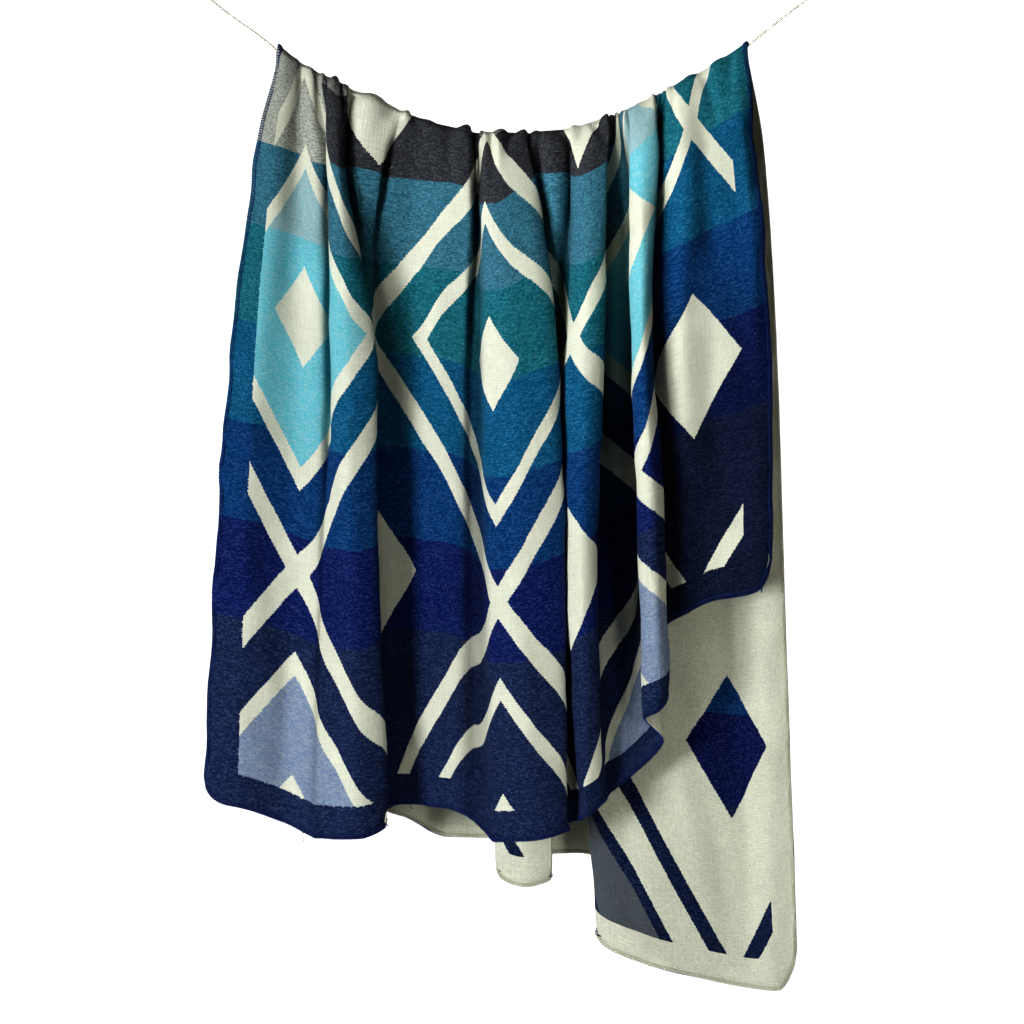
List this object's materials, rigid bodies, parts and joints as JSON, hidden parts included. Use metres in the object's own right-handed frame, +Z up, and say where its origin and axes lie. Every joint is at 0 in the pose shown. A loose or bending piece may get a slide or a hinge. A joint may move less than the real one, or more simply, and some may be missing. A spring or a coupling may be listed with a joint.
{
  "type": "throw blanket on a hanging line",
  "caption": "Double-faced woven throw blanket draped over a thin sagging cord, gathered into soft folds, its back wing hanging lower on one side.",
  "frame": {"origin": "where the left end of the line bears in its tied loop", "axes": "+X towards the right end of the line, +Y from the front wing to the back wing, +Z up"},
  "size_m": [0.7955, 0.1639, 1.2288],
  "materials": {
    "blanket_cloth": "matte double-faced plain weave, blue bands with cream figures on one face and the colours exchanged on the other",
    "ivory_cord": "matte twisted cotton cord"
  },
  "bodies": {
    "root": {"blanket": "blanket_cloth", "line": "ivory_cord", "line_end_left": "ivory_cord", "line_end_right": "ivory_cord"}
  },
  "joints": []
}
